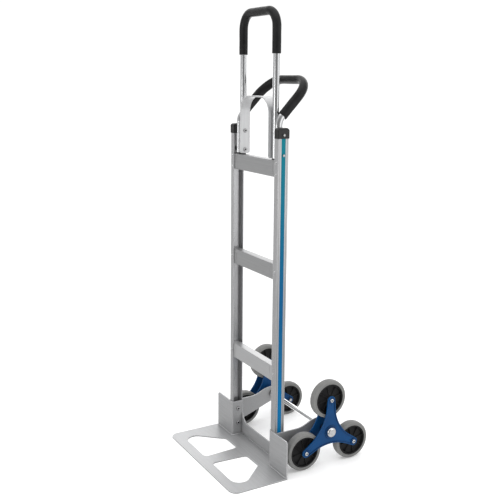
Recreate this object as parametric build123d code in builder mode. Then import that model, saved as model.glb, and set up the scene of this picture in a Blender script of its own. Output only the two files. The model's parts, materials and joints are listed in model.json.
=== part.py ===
from build123d import *
import math
import os

os.makedirs("parts", exist_ok=True)

# Stair climbing trolley. Millimetres, +Z up, +X to the right, -Y to the load side.
# The origin is on the ground, at the middle of the footprint.

# Overall sizes
overall_height = 1550
plate_width = 496
plate_reach = 208
sheet = 4

# Star wheels: three wheels on each star, two of them on the ground
star_radius = 115
wheel_radius = 67
axle_back = 185
axle_height = wheel_radius + star_radius / 2
wheel_rear = axle_back + star_radius * math.cos(math.radians(30)) + wheel_radius

# Front face of the rails, placed so that the footprint is centred on the origin
rail_front = plate_reach - (plate_reach + wheel_rear) / 2

# Rails: C-shaped extrusions that open towards each other
rail_outer = 159
rail_width = 22.5
rail_depth = 40
rail_wall = 2.5
rail_bottom = 6
rail_top = 1158
rail_middle = rail_front + rail_depth / 2
rail_inner = rail_outer - rail_width
groove_width = 15
groove_depth = 2
rib_width = groove_width + 2 * rail_wall
rib_inner = rail_outer - groove_depth - rail_wall
edge_round = 2.2
strip_proud = 0.4
contact_gap = 0.1

# Rail caps
cap_wall = 1.6
cap_height = 34
cap_top = 9
cap_round = 9
cap_bottom = rail_top + cap_top - cap_height

# Crossbars
bar_height = 54
bar_depth = 29
bar_wall = 2.5
bar_lip = 7
bar_end_play = 0.5
bar_half_length = rib_inner - bar_end_play
bar_front = rail_front + rail_wall
bar_bottoms = {"top_crossbar": 1008, "middle_crossbar": 666, "bottom_crossbar": 311}
relief_radius = 2.5
relief_x = 120
score_width = 1.5
score_depth = 1.2

# Rivets that hold the crossbars to the rails
rivet_radius = 2.4
rivet_head_radius = 4.6
rivet_head_height = 1.7
rivet_head_taper = 35
rivet_pitch = 38
rivet_x = 147

# Loop handle: an upright U of round tube with a foam sleeve over its top
loop_x = 108
loop_tube_radius = 11.2
loop_tube_wall = 1.6
loop_grip_radius = 14.8
loop_bend = 52
loop_bottom = 1066
loop_grip_bottom = 1399.5
loop_top = overall_height - loop_grip_radius
foam_gap = 0.05

# Arched strap across the inner sides of the loop handle's legs
strap_thickness = 4
strap_width = 37.5
strap_top = 1264
strap_bend = 56
strap_outer = loop_x - loop_tube_radius - contact_gap
strap_inner = strap_outer - strap_thickness
strap_corner = 8

# Rear handle: a U of oval tube that leaves the rails and leans back
rear_x = 128.8
rear_tube_half_x = 9.5
rear_tube_half_y = 12.8
rear_tube_wall = 1.6
rear_grip_half_x = 13
rear_grip_half_y = 17
rear_lean = 43.6
rear_knee = 1190
rear_top = 1318
rear_knee_bend = 45
rear_corner_bend = 76
rear_grip_start = 17.5
rear_bottom = 1066.5

# Plugs in the lower ends of the handle tubes
plug_flange = 3
plug_stub = 8

# Bolts through strap, handle tubes and rails
handle_bolt_radius = 2.5
handle_bolt_heights = (1079, 1144)
handle_head_radius = 7
handle_head_height = 3.4
handle_nut_radius = 4.6
handle_nut_height = 4
hole_play = 0.15
bolt_head_taper = 25

# Nose plate: a floor sheet with two ear plates and a low back sheet welded on it
plate_corner = 28
plate_back = 40
ear_height = 135
ear_round = 10
side_outer = rail_inner - contact_gap
side_inner = side_outer - sheet
back_height = 52
back_curve = 45
back_tip = 1
bend_outer = 6
cutout_front = -172
cutout_rear = -37
cutout_inner_front = 26
cutout_inner_rear = 34
cutout_outer_rear = 118
cutout_outer_front = 240
cutout_round = 16
cutout_wide_round = 35

# Axle brackets: plates on the outer faces of the rails
bracket_inner = rail_outer
bracket_outer = rail_outer + sheet
bracket_top = 129
bracket_bottom = 8
bracket_nose = 2
bracket_straight = 85
bracket_eye = 28.5
bracket_step = (56, 50)
bracket_corner = 8

# Bolts through ear plates, rails and axle brackets
frame_bolt_radius = 4
frame_bolt_heights = (50, 106)
frame_head_radius = 7.5
frame_head_height = 4.5
frame_nut_radius = 7
frame_nut_height = 6

# Axle
axle_radius = 8
axle_half_length = 238
axle_chamfer = 1
bush_radius = 11
bush_flange_radius = 14
bush_flange = 6
spacer_radius = 12
axle_cap_radius = 17.5
axle_cap_length = 8
axle_cap_round = 6.5
side_play = 0.3

# Stars: two three-armed plates on a hub sleeve, with the wheels between them
star_inner = 185
star_plate = 5
star_outer = 233
star_arm_end = 14.5
star_arm_root = 25
star_web_round = 150
star_rim = 3.2
star_pocket = 2.2
star_hub_land = 22.5
star_bolt_land = 10.5
star_dimple_inset = 17
star_dimple_radius = 1.8
star_dimple_depth = 3.4
star_thickness = star_outer - star_inner
hub_sleeve_radius = 15
hub_sleeve_proud = 1
hub_sleeve_inner = star_inner - hub_sleeve_proud
hub_sleeve_outer = star_outer + hub_sleeve_proud
running_play = 0.08

# Wheels
wheel_width = 28
wheel_x = (star_inner + star_outer) / 2
wheel_rim_radius = 54
wheel_rim_wall = 6
wheel_web = 6
wheel_boss_radius = 14
wheel_boss_play = 0.8
wheel_rib_count = 8
wheel_rib_width = 4
wheel_rib_inset = 3
tyre_crown = 2
tyre_round = 4
sleeve_radius = 6
wheel_bolt_radius = 4
wheel_head_radius = 6.8
wheel_head_height = 4.2
wheel_nut_radius = 7
wheel_nut_height = 6.5
wheel_angles = {"top": 90, "front": 210, "rear": 330}

sides = {"left": -1, "right": 1}


def finish(builder, label):
    """Label a finished piece and write it to its own file."""
    builder.part.label = label
    export_step(builder.part, "parts/" + label + ".step")


def along_x(x, points):
    """Places at x for round features whose axis is parallel to X."""
    return [Location((x, y, z), (0, 90, 0)) for y, z in points]


def across(side, start, end):
    """Middle of a stretch along X on one side."""
    return side * (start + end) / 2


def wheel_centre(name):
    """Y and Z of a wheel's axis."""
    angle = math.radians(wheel_angles[name])
    y = rail_front + axle_back + star_radius * math.cos(angle)
    z = axle_height + star_radius * math.sin(angle)
    return y, z


axle_y = rail_front + axle_back
axle_point = [(axle_y, axle_height)]
wheel_points = [wheel_centre(name) for name in wheel_angles]
handle_points = [(rail_middle, z) for z in handle_bolt_heights]
frame_points = [(rail_middle, z) for z in frame_bolt_heights]


# ---------------------------------------------------------------- rails
def make_rail(side):
    with BuildPart() as rail:
        with BuildSketch(Plane.XY.offset(rail_bottom)) as section:
            with Locations((across(side, rail_inner, rail_outer), rail_middle)):
                Rectangle(rail_width, rail_depth)
            outer = section.vertices().group_by(Axis.X)[-1 if side > 0 else 0]
            fillet(outer, edge_round)
            with Locations((across(side, rail_inner - rail_wall, rail_outer - rail_wall), rail_middle)):
                Rectangle(rail_width, rail_depth - 2 * rail_wall, mode=Mode.SUBTRACT)
            with Locations((across(side, rib_inner, rail_outer), rail_middle)):
                Rectangle(rail_outer - rib_inner, rib_width)
            with Locations((side * (rail_outer - groove_depth / 2), rail_middle)):
                Rectangle(groove_depth, groove_width, mode=Mode.SUBTRACT)
        extrude(amount=rail_top - rail_bottom)
        with Locations(*along_x(side * rail_outer, handle_points)):
            Cylinder(handle_bolt_radius + hole_play, rail_width, mode=Mode.SUBTRACT)
        with Locations(*along_x(side * rail_outer, frame_points)):
            Cylinder(frame_bolt_radius + hole_play, rail_width, mode=Mode.SUBTRACT)
        for x, z in rivet_places(side):
            with Locations(Location((x, rail_front, z), (90, 0, 0))):
                Cylinder(rivet_radius, 2 * rail_wall, mode=Mode.SUBTRACT)
    return rail


def rivet_places(side):
    """X and Z of the rivets on one rail: a pair at the top bar, one at each lower bar."""
    places = []
    for name, bottom in bar_bottoms.items():
        middle = bottom + bar_height / 2
        if name == "top_crossbar":
            places.append((side * rivet_x, middle - rivet_pitch / 2))
            places.append((side * rivet_x, middle + rivet_pitch / 2))
        else:
            places.append((side * rivet_x, middle))
    return places


def make_strip(side):
    strip_bottom = bracket_top + side_play
    with BuildPart() as strip:
        with BuildSketch(Plane.XY.offset(strip_bottom)) as section:
            with Locations((across(side, rail_outer - groove_depth, rail_outer + strip_proud), rail_middle)):
                Rectangle(groove_depth + strip_proud, groove_width)
            outer = section.vertices().group_by(Axis.X)[-1 if side > 0 else 0]
            fillet(outer, strip_proud)
        extrude(amount=cap_bottom - strip_bottom)
        with Locations(*along_x(side * rail_outer, handle_points)):
            Cylinder(handle_bolt_radius + hole_play, rail_width, mode=Mode.SUBTRACT)
    return strip


def make_cap(side):
    outer_x = rail_outer + cap_wall
    inner_x = rail_inner - cap_wall
    with BuildPart() as cap:
        with BuildSketch(Plane.XY.offset(cap_bottom)):
            with Locations((across(side, inner_x, outer_x), rail_middle)):
                RectangleRounded(outer_x - inner_x, rail_depth + 2 * cap_wall, cap_wall)
        extrude(amount=cap_height)
        top_edges = cap.faces().sort_by(Axis.Z)[-1].edges()
        fillet(top_edges, cap_round)
        with BuildSketch(Plane.XY.offset(cap_bottom)):
            with Locations((across(side, rail_inner, rail_outer), rail_middle)):
                Rectangle(rail_width, rail_depth)
        extrude(amount=cap_height - cap_top, mode=Mode.SUBTRACT)
        with BuildSketch(Plane.XY.offset(cap_bottom)):
            with Locations((side * rear_x, rail_middle)):
                Ellipse(rear_tube_half_x + side_play, rear_tube_half_y + side_play)
        extrude(amount=cap_height, mode=Mode.SUBTRACT)
        with Locations(*along_x(side * outer_x, handle_points)):
            Cylinder(handle_bolt_radius + hole_play, 2 * groove_depth + cap_wall, mode=Mode.SUBTRACT)
    return cap


# ---------------------------------------------------------------- crossbars
def make_crossbar(bottom, rivet_heights):
    middle = bottom + bar_height / 2
    with BuildPart() as bar:
        with BuildSketch(Plane.YZ) as section:
            with Locations((bar_front + bar_depth / 2, middle)):
                Rectangle(bar_depth, bar_height)
            fillet(section.vertices(), edge_round)
            with Locations((bar_front + bar_depth / 2, middle)):
                Rectangle(bar_depth - 2 * bar_wall, bar_height - 2 * bar_wall, mode=Mode.SUBTRACT)
            with Locations((bar_front + bar_depth, middle)):
                Rectangle(3 * bar_wall, bar_height - 2 * bar_lip, mode=Mode.SUBTRACT)
        extrude(amount=bar_half_length, both=True)
        for side in sides.values():
            with Locations(Location((side * relief_x, bar_front, bottom), (90, 0, 0))):
                Cylinder(relief_radius, 2 * bar_wall, mode=Mode.SUBTRACT)
            with Locations((side * relief_x, bar_front, middle)):
                Box(score_width, 2 * score_depth, bar_height, mode=Mode.SUBTRACT)
            for z in rivet_heights:
                with Locations(Location((side * rivet_x, bar_front, z), (90, 0, 0))):
                    Cylinder(rivet_radius, 3 * bar_wall, mode=Mode.SUBTRACT)
    return bar


def make_rivets():
    grip = rail_wall + bar_wall
    with BuildPart() as rivets:
        for side in sides.values():
            for x, z in rivet_places(side):
                with BuildSketch(Plane.XZ.offset(-rail_front)):
                    with Locations((x, z)):
                        Circle(rivet_head_radius)
                extrude(amount=rivet_head_height, taper=rivet_head_taper)
                with BuildSketch(Plane.XZ.offset(-rail_front)):
                    with Locations((x, z)):
                        Circle(rivet_radius)
                extrude(amount=-grip)
    return rivets


# ---------------------------------------------------------------- loop handle
def loop_points(bottom):
    """Corners of the loop handle's centreline, from one foot to the other."""
    return [
        (-loop_x, rail_middle, bottom),
        (-loop_x, rail_middle, loop_top),
        (loop_x, rail_middle, loop_top),
        (loop_x, rail_middle, bottom),
    ]


def make_loop(bottom, outer_radius, inner_radius):
    with BuildPart() as loop:
        with BuildLine():
            FilletPolyline(*loop_points(bottom), radius=loop_bend)
        with BuildSketch(Plane.XY.offset(bottom)):
            with Locations((-loop_x, rail_middle)):
                Circle(outer_radius)
                Circle(inner_radius, mode=Mode.SUBTRACT)
        sweep()
    return loop


def make_strap():
    height = strap_top - loop_bottom
    with BuildPart() as strap:
        with BuildSketch(Plane.XZ.offset(-rail_middle)) as outline:
            with Locations((0, loop_bottom + height / 2)):
                Rectangle(2 * strap_outer, height)
            fillet(outline.vertices().group_by(Axis.Y)[-1], strap_bend)
            with BuildSketch(Plane.XY, mode=Mode.SUBTRACT) as inside:
                with Locations((0, loop_bottom + (height - strap_thickness) / 2)):
                    Rectangle(2 * strap_inner, height - strap_thickness)
                fillet(inside.vertices().group_by(Axis.Y)[-1], strap_bend - strap_thickness)
        extrude(amount=strap_width / 2, both=True)
        feet = strap.edges().filter_by(Axis.X).group_by(Axis.Z)[0]
        fillet(feet, strap_corner)
        for side in sides.values():
            with Locations(*along_x(side * strap_inner, handle_points)):
                Cylinder(handle_bolt_radius + hole_play, 3 * strap_thickness, mode=Mode.SUBTRACT)
    return strap


# ---------------------------------------------------------------- rear handle
lean = math.radians(rear_lean)
rear_reach = (rear_top - rear_knee) * math.tan(lean)


def rear_points(first_y, first_z, with_knee):
    """Corners of the rear handle's centreline, from one end to the other."""
    half = [(first_y, first_z)]
    if with_knee:
        half.append((rail_middle, rear_knee))
    half.append((rail_middle + rear_reach, rear_top))
    left = [(-rear_x, y, z) for y, z in half]
    right = [(rear_x, y, z) for y, z in reversed(half)]
    return left + right


def make_rear_tube():
    with BuildPart() as tube:
        with BuildLine():
            FilletPolyline(
                *rear_points(rail_middle, rear_bottom, True),
                radius=[rear_knee_bend, rear_corner_bend, rear_corner_bend, rear_knee_bend],
            )
        with BuildSketch(Plane.XY.offset(rear_bottom)):
            with Locations((-rear_x, rail_middle)):
                Ellipse(rear_tube_half_x, rear_tube_half_y)
                Ellipse(
                    rear_tube_half_x - rear_tube_wall,
                    rear_tube_half_y - rear_tube_wall,
                    mode=Mode.SUBTRACT,
                )
        sweep()
        for side in sides.values():
            with Locations(*along_x(side * rear_x, handle_points)):
                Cylinder(handle_bolt_radius + hole_play, 3 * rear_tube_half_x, mode=Mode.SUBTRACT)
    return tube


def make_rear_grip():
    first_y = rail_middle + rear_grip_start * math.sin(lean)
    first_z = rear_knee + rear_grip_start * math.cos(lean)
    end_plane = Plane(
        origin=(-rear_x, first_y, first_z),
        x_dir=(1, 0, 0),
        z_dir=(0, math.sin(lean), math.cos(lean)),
    )
    with BuildPart() as grip:
        with BuildLine():
            FilletPolyline(*rear_points(first_y, first_z, False), radius=rear_corner_bend)
        with BuildSketch(end_plane):
            Ellipse(rear_grip_half_x, rear_grip_half_y)
            Ellipse(rear_tube_half_x + foam_gap, rear_tube_half_y + foam_gap, mode=Mode.SUBTRACT)
        sweep()
    return grip


def make_plugs(x, half_x, half_y, wall, tube_bottom):
    """Two end plugs: a flange under the tube and a stub inside it."""
    with BuildPart() as plugs:
        for side in sides.values():
            with BuildSketch(Plane.XY.offset(tube_bottom - plug_flange)):
                with Locations((side * x, rail_middle)):
                    Ellipse(half_x, half_y)
            extrude(amount=plug_flange)
            with BuildSketch(Plane.XY.offset(tube_bottom)):
                with Locations((side * x, rail_middle)):
                    Ellipse(half_x - wall - foam_gap, half_y - wall - foam_gap)
            extrude(amount=plug_stub)
    return plugs


# ---------------------------------------------------------------- bolts, nuts, sleeves
def make_bolts(stacks, points, radius, head_radius, head_height):
    """Button-headed bolts along X. A stack is the head's face and the tail's end."""
    with BuildPart() as bolts:
        for head_face, tail in stacks:
            towards = 1 if tail > head_face else -1
            with Locations(*along_x((head_face + tail) / 2, points)):
                Cylinder(radius, abs(tail - head_face))
            head_top = head_face - towards * head_height
            for y, z in points:
                with BuildSketch(Plane(origin=(head_face, y, z), z_dir=(-towards, 0, 0))):
                    Circle(head_radius)
                extrude(amount=head_height, taper=bolt_head_taper)
                with BuildSketch(Plane(origin=(head_top, y, z), z_dir=(-towards, 0, 0))):
                    RegularPolygon(radius, 6)
                extrude(amount=-head_height / 2, mode=Mode.SUBTRACT)
    return bolts


def make_nuts(faces, points, bore, radius, height):
    """Hexagon nuts. Each face is the plane that the nuts sit on and the way they stand."""
    with BuildPart() as nuts:
        for x, way in faces:
            for y, z in points:
                with BuildSketch(Plane(origin=(x, y, z), z_dir=(way, 0, 0))):
                    RegularPolygon(radius, 6)
                    Circle(bore, mode=Mode.SUBTRACT)
                extrude(amount=height)
    return nuts


def make_sleeves(stretches, points, radius, bore):
    """Plain sleeves between two faces."""
    with BuildPart() as sleeves:
        for start, end in stretches:
            with Locations(*along_x((start + end) / 2, points)):
                Cylinder(radius, abs(end - start))
                Cylinder(bore, abs(end - start), mode=Mode.SUBTRACT)
    return sleeves


# ---------------------------------------------------------------- nose plate
plate_end = rail_front + plate_back


def ear_outline(side):
    """Seen from above: an ear in front of a rail, folded back along the rail's inner side."""
    ear_front = rail_front - sheet
    half = plate_width / 2
    with BuildSketch() as outline:
        with BuildLine():
            FilletPolyline(
                (side * half, ear_front),
                (side * side_inner, ear_front),
                (side * side_inner, plate_end),
                radius=bend_outer,
            )
            Polyline(
                (side * side_inner, plate_end),
                (side * side_outer, plate_end),
                (side * side_outer, rail_front),
                (side * half, rail_front),
                (side * half, ear_front),
            )
        make_face()
    return outline.sketch


def make_nose_plate():
    front = rail_front - plate_reach
    half = plate_width / 2
    with BuildPart() as plate:
        with BuildSketch(Plane.XY):
            with BuildLine():
                FilletPolyline(
                    (-half, rail_front),
                    (-half, front),
                    (half, front),
                    (half, rail_front),
                    radius=plate_corner,
                )
                Polyline(
                    (half, rail_front),
                    (side_outer, rail_front),
                    (side_outer, plate_end),
                    (-side_outer, plate_end),
                    (-side_outer, rail_front),
                    (-half, rail_front),
                )
            make_face()
            with Locations((0, plate_end - sheet / 2)):
                Rectangle(2 * side_inner, sheet, mode=Mode.SUBTRACT)
            for side in sides.values():
                add(ear_outline(side), mode=Mode.SUBTRACT)
                with BuildSketch(Plane.XY, mode=Mode.SUBTRACT) as cutout:
                    with BuildLine():
                        Polyline(
                            (side * cutout_inner_front, rail_front + cutout_front),
                            (side * cutout_inner_rear, rail_front + cutout_rear),
                            (side * cutout_outer_rear, rail_front + cutout_rear),
                            (side * cutout_outer_front, rail_front + cutout_front),
                            close=True,
                        )
                    make_face()
                    by_reach = cutout.vertices().sort_by(Axis.X)
                    sharp = by_reach[-1] if side > 0 else by_reach[0]
                    others = [corner for corner in by_reach if corner != sharp]
                    fillet(others, cutout_round)
                    sharpest = cutout.vertices().sort_by(Axis.X)[-1 if side > 0 else 0]
                    fillet(sharpest, cutout_wide_round)
        extrude(amount=sheet)
    return plate


def make_ear_plate(side):
    with BuildPart() as plate:
        with BuildSketch(Plane.XY):
            add(ear_outline(side))
        extrude(amount=ear_height)
        ends = plate.edges().group_by(Axis.Z)[-1].filter_by(Axis.Y).sort_by(Axis.X)
        fillet(ends[-1 if side > 0 else 0], ear_round)
        with Locations(*along_x(side * side_inner, frame_points)):
            Cylinder(frame_bolt_radius + hole_play, 3 * sheet, mode=Mode.SUBTRACT)
    return plate


def make_back_sheet():
    """A low sheet between the side plates, rising to them in a curve."""
    top = back_height + back_curve
    with BuildPart() as back_sheet:
        with BuildSketch(Plane.XZ.offset(-plate_end)):
            with Locations((0, top / 2)):
                Rectangle(2 * side_inner, top)
            with BuildSketch(Plane.XY, mode=Mode.SUBTRACT) as opening:
                with Locations((0, top)):
                    Rectangle(2 * (side_inner - back_tip), 2 * back_curve)
                fillet(opening.vertices().group_by(Axis.Y)[0], back_curve)
        extrude(amount=sheet)
    return back_sheet


# ---------------------------------------------------------------- axle and brackets
def make_bracket(side):
    nose = rail_front + bracket_nose
    straight = rail_front + bracket_straight
    step_y = rail_front + bracket_step[0]
    step_z = bracket_step[1]
    rail_back = rail_front + rail_depth
    crown = axle_height + bracket_eye
    swing = (axle_y - straight) / 2
    with BuildPart() as bracket:
        with BuildSketch(Plane.YZ.offset(side * (bracket_inner + sheet / 2))) as outline:
            with BuildLine():
                Line((nose, bracket_bottom), (nose, bracket_top))
                Line((nose, bracket_top), (straight, bracket_top))
                Bezier(
                    (straight, bracket_top),
                    (straight + swing, bracket_top),
                    (axle_y - swing, crown),
                    (axle_y, crown),
                )
                RadiusArc((axle_y, crown), (axle_y, axle_height - bracket_eye), bracket_eye)
                Line((axle_y, axle_height - bracket_eye), (step_y, step_z))
                Line((step_y, step_z), (rail_back, bracket_bottom))
                Line((rail_back, bracket_bottom), (nose, bracket_bottom))
            make_face()
            fillet(outline.vertices().sort_by(Axis.X)[:2], bracket_corner)
        extrude(amount=sheet / 2, both=True)
        with Locations(*along_x(side * bracket_outer, axle_point)):
            Cylinder(bush_radius, 3 * sheet, mode=Mode.SUBTRACT)
        with Locations(*along_x(side * bracket_outer, frame_points)):
            Cylinder(frame_bolt_radius + hole_play, 3 * sheet, mode=Mode.SUBTRACT)
    return bracket


def make_bushes():
    with BuildPart() as bushes:
        for side in sides.values():
            with Locations(*along_x(across(side, bracket_inner, bracket_outer), axle_point)):
                Cylinder(bush_radius, sheet)
            with Locations(*along_x(side * (bracket_inner - bush_flange / 2), axle_point)):
                Cylinder(bush_flange_radius, bush_flange)
        with Locations(*along_x(0, axle_point)):
            Cylinder(axle_radius, 2 * axle_half_length, mode=Mode.SUBTRACT)
    return bushes


def make_axle():
    with BuildPart() as axle:
        with Locations(*along_x(0, axle_point)):
            Cylinder(axle_radius, 2 * axle_half_length)
        chamfer(axle.edges().filter_by(GeomType.CIRCLE), axle_chamfer)
    return axle


def make_axle_caps():
    start = hub_sleeve_outer + side_play
    with BuildPart() as caps:
        for side in sides.values():
            face = Plane(origin=(side * start, axle_y, axle_height), z_dir=(side, 0, 0))
            with BuildSketch(face):
                Circle(axle_cap_radius)
            extrude(amount=axle_cap_length)
        ends = caps.edges().filter_by(GeomType.CIRCLE).sort_by(Axis.X)
        fillet([ends[0], ends[-1]], axle_cap_round)
        with Locations(*along_x(0, axle_point)):
            Cylinder(axle_radius, 2 * axle_half_length, mode=Mode.SUBTRACT)
    return caps


# ---------------------------------------------------------------- stars
def arm_outline(trim):
    """A three-armed outline around the origin, pulled in by trim on every side."""
    end = star_arm_end - trim
    root = star_arm_root - trim
    with BuildSketch() as star:
        for angle in wheel_angles.values():
            with Locations(Location((0, 0, 0), (0, 0, angle))):
                with BuildSketch(mode=Mode.PRIVATE) as arm:
                    with BuildLine():
                        Polyline((0, root), (star_radius, end), (star_radius, -end), (0, -root), close=True)
                    make_face()
                add(arm.sketch)
        with PolarLocations(star_radius, len(wheel_angles), start_angle=wheel_angles["top"]):
            Circle(end)
        inner = [corner for corner in star.vertices() if Vector(corner.X, corner.Y).length < star_radius / 2]
        fillet(inner, star_web_round + trim)
    return star.sketch


def make_star_plate(side, inner_face, outer_face, pocket_way):
    """One star plate. Its pocketed face leaves a rim and raised lands around the holes."""
    middle_x = across(side, inner_face, outer_face)
    pocket_x = side * (outer_face if pocket_way > 0 else inner_face)
    middle = Plane(origin=(middle_x, axle_y, axle_height), x_dir=(0, 1, 0), z_dir=(1, 0, 0))
    pocket = Plane(origin=(pocket_x, axle_y, axle_height), x_dir=(0, 1, 0), z_dir=(1, 0, 0))
    with BuildPart() as plate:
        with BuildSketch(middle):
            add(arm_outline(0))
        extrude(amount=star_plate / 2, both=True)
        with BuildSketch(pocket):
            add(arm_outline(star_rim))
            Circle(star_hub_land, mode=Mode.SUBTRACT)
            with PolarLocations(star_radius, len(wheel_angles), start_angle=wheel_angles["top"]):
                Circle(star_bolt_land, mode=Mode.SUBTRACT)
        extrude(amount=star_pocket, both=True, mode=Mode.SUBTRACT)
        # a moulding dimple beside each bolt's land
        with BuildSketch(pocket):
            dimple_reach = star_radius - star_dimple_inset
            with PolarLocations(dimple_reach, len(wheel_angles), start_angle=wheel_angles["top"]):
                Circle(star_dimple_radius)
        extrude(amount=star_dimple_depth, both=True, mode=Mode.SUBTRACT)
        with Locations(*along_x(side * wheel_x, axle_point)):
            Cylinder(hub_sleeve_radius, 2 * star_thickness, mode=Mode.SUBTRACT)
        with Locations(*along_x(side * wheel_x, wheel_points)):
            Cylinder(wheel_bolt_radius, 2 * star_thickness, mode=Mode.SUBTRACT)
    return plate


# ---------------------------------------------------------------- wheels
def wheel_plane(side, name):
    """Plane through a wheel's middle: local x is across the wheel, local y is radial."""
    y, z = wheel_centre(name)
    return Plane(origin=(side * wheel_x, y, z), x_dir=(1, 0, 0), z_dir=(0, -1, 0))


def make_wheel_hub(side, name):
    plane = wheel_plane(side, name)
    spin = Axis(plane.origin, (1, 0, 0))
    bore = sleeve_radius + running_play
    boss_length = star_thickness - 2 * star_plate - 2 * wheel_boss_play
    rim_inner = wheel_rim_radius - wheel_rim_wall
    with BuildPart() as hub:
        with BuildSketch(plane):
            with Locations((0, (bore + wheel_rim_radius) / 2)):
                Rectangle(wheel_web, wheel_rim_radius - bore)
            with Locations((0, (rim_inner + wheel_rim_radius) / 2)):
                Rectangle(wheel_width, wheel_rim_wall)
            with Locations((0, (bore + wheel_boss_radius) / 2)):
                Rectangle(boss_length, wheel_boss_radius - bore)
        revolve(axis=spin)
        rib_start = wheel_boss_radius - wheel_rib_width / 2
        rib_end = rim_inner + wheel_rib_width / 2
        rib_depth = wheel_width - 2 * wheel_rib_inset
        y, z = wheel_centre(name)
        for turn in range(wheel_rib_count):
            angle = 360 / wheel_rib_count * turn
            with Locations(Location((side * wheel_x, y, z), (angle, 0, 0))):
                with Locations((0, (rib_start + rib_end) / 2, 0)):
                    Box(rib_depth, rib_end - rib_start, wheel_rib_width)
    return hub


def make_tyre(side, name):
    plane = wheel_plane(side, name)
    spin = Axis(plane.origin, (1, 0, 0))
    half = wheel_width / 2
    shoulder = wheel_radius - tyre_crown
    with BuildPart() as tyre:
        with BuildSketch(plane) as section:
            with BuildLine():
                Polyline(
                    (-half, shoulder),
                    (-half, wheel_rim_radius),
                    (half, wheel_rim_radius),
                    (half, shoulder),
                )
                ThreePointArc((half, shoulder), (0, wheel_radius), (-half, shoulder))
            make_face()
            fillet(section.vertices().group_by(Axis.Y)[-1], tyre_round)
        revolve(axis=spin)
    return tyre


# ---------------------------------------------------------------- frame pieces
for side_name, side in sides.items():
    finish(make_rail(side), side_name + "_rail")
    finish(make_strip(side), side_name + "_rail_strip")
    finish(make_cap(side), side_name + "_rail_cap")
    finish(make_bracket(side), side_name + "_axle_bracket")
    finish(make_ear_plate(side), side_name + "_ear_plate")

for bar_name, bar_bottom in bar_bottoms.items():
    heights = [z for x, z in rivet_places(1) if bar_bottom < z < bar_bottom + bar_height]
    finish(make_crossbar(bar_bottom, heights), bar_name)
finish(make_rivets(), "crossbar_rivets")

loop_tube = make_loop(loop_bottom, loop_tube_radius, loop_tube_radius - loop_tube_wall)
with loop_tube:
    for side in sides.values():
        with Locations(*along_x(side * loop_x, handle_points)):
            Cylinder(handle_bolt_radius + hole_play, 3 * loop_tube_radius, mode=Mode.SUBTRACT)
finish(loop_tube, "loop_handle_tube")
finish(make_loop(loop_grip_bottom, loop_grip_radius, loop_tube_radius + foam_gap), "loop_handle_grip")
loop_plugs = make_plugs(loop_x, loop_tube_radius, loop_tube_radius, loop_tube_wall, loop_bottom)
finish(loop_plugs, "loop_handle_plugs")
finish(make_strap(), "strap_bracket")
finish(make_rear_tube(), "rear_handle_tube")
finish(make_rear_grip(), "rear_handle_grip")
rear_plugs = make_plugs(rear_x, rear_tube_half_x, rear_tube_half_y, rear_tube_wall, rear_bottom)
finish(rear_plugs, "rear_handle_plugs")
finish(make_nose_plate(), "nose_plate")
finish(make_back_sheet(), "back_sheet")

# Handle bolts: heads on the strap, nuts on the strip below the cap and on the cap itself
nut_faces = (rail_outer + strip_proud, rail_outer + cap_wall)
with BuildPart() as handle_bolts:
    for side in sides.values():
        for height, nut_face in zip(handle_bolt_heights, nut_faces):
            stack = [(side * strap_inner, side * (nut_face + handle_nut_height))]
            point = [(rail_middle, height)]
            bolt = make_bolts(stack, point, handle_bolt_radius, handle_head_radius, handle_head_height)
            add(bolt.part)
finish(handle_bolts, "handle_bolts")
with BuildPart() as handle_nuts:
    for side in sides.values():
        for height, nut_face in zip(handle_bolt_heights, nut_faces):
            seat = [(side * nut_face, side)]
            point = [(rail_middle, height)]
            nut = make_nuts(seat, point, handle_bolt_radius, handle_nut_radius, handle_nut_height)
            add(nut.part)
finish(handle_nuts, "handle_nuts")
handle_gaps = [(side * (rear_x + rear_tube_half_x), side * rib_inner) for side in sides.values()]
handle_spacers = make_sleeves(handle_gaps, handle_points, handle_head_radius, handle_bolt_radius + hole_play)
finish(handle_spacers, "handle_spacers")

# Frame bolts: heads on the ear plates' sides, nuts on the axle brackets
frame_stacks = [(side * side_inner, side * (bracket_outer + frame_nut_height)) for side in sides.values()]
frame_bolts = make_bolts(frame_stacks, frame_points, frame_bolt_radius, frame_head_radius, frame_head_height)
finish(frame_bolts, "frame_bolts")
frame_seats = [(side * bracket_outer, side) for side in sides.values()]
frame_nuts = make_nuts(frame_seats, frame_points, frame_bolt_radius, frame_nut_radius, frame_nut_height)
finish(frame_nuts, "frame_nuts")
frame_gaps = [(side * side_outer, side * rib_inner) for side in sides.values()]
frame_spacers = make_sleeves(frame_gaps, frame_points, frame_nut_radius, frame_bolt_radius + hole_play)
finish(frame_spacers, "frame_spacers")

finish(make_axle(), "axle")
finish(make_bushes(), "axle_bushes")
axle_gaps = [(side * bracket_outer, side * (hub_sleeve_inner - side_play)) for side in sides.values()]
finish(make_sleeves(axle_gaps, axle_point, spacer_radius, axle_radius), "axle_spacers")
finish(make_axle_caps(), "axle_caps")

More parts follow.
